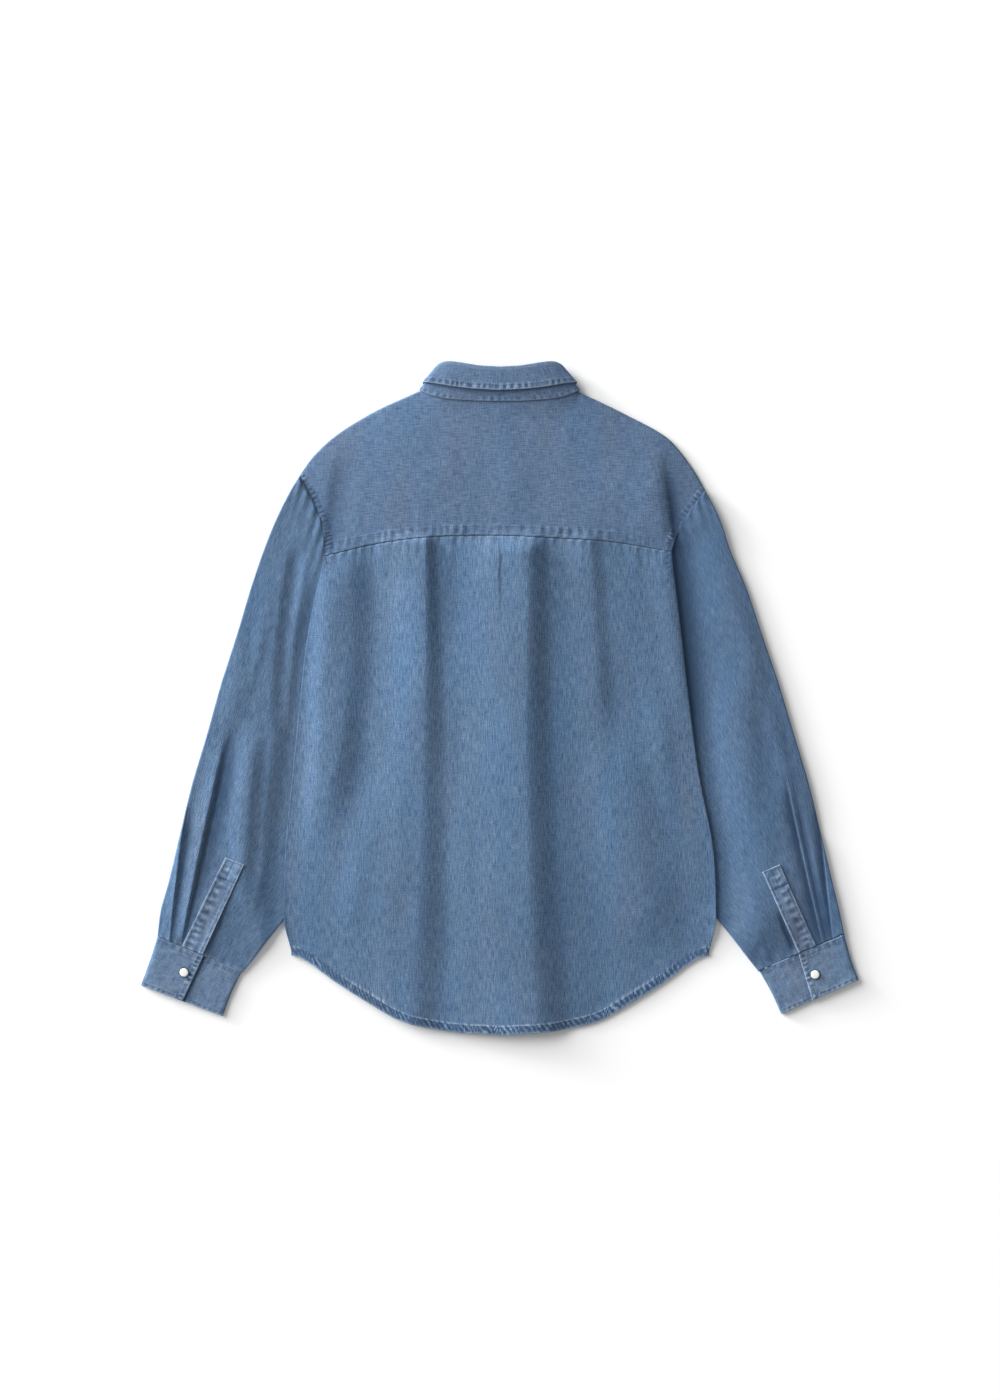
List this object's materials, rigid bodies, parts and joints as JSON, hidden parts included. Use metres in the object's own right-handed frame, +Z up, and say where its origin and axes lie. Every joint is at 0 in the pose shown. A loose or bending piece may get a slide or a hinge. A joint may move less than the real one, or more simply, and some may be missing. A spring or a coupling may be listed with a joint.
{
  "type": "denim shirt",
  "caption": "Long-sleeved denim shirt laid flat, back side up, with a deep back yoke, pleated cuffs with pearl snaps and a shirt-tail hem.",
  "frame": {"origin": "middle of the bounding box, on the surface the shirt lies on", "axes": "+X towards the wearer's right cuff, +Y towards the collar, +Z up from the surface, out of the shirt's back"},
  "size_m": [0.8248, 0.776, 0.0223],
  "materials": {
    "denim": "washed mid-blue denim, matt",
    "pearl": "white pearl, glossy"
  },
  "bodies": {
    "root": {"back": "denim", "yoke": "denim", "front_left": "denim", "front_right": "denim", "front_band": "denim", "sleeve_left": "denim", "sleeve_right": "denim", "sleeve_placket_left": "denim", "sleeve_placket_right": "denim", "cuff_left": "denim", "cuff_right": "denim", "collar": "denim", "collar_stand": "denim", "cuff_snap_left": "pearl", "cuff_snap_right": "pearl", "stand_snap": "pearl", "front_snap_1": "pearl", "front_snap_2": "pearl", "front_snap_3": "pearl", "front_snap_4": "pearl", "front_snap_5": "pearl", "front_snap_6": "pearl"}
  },
  "joints": []
}
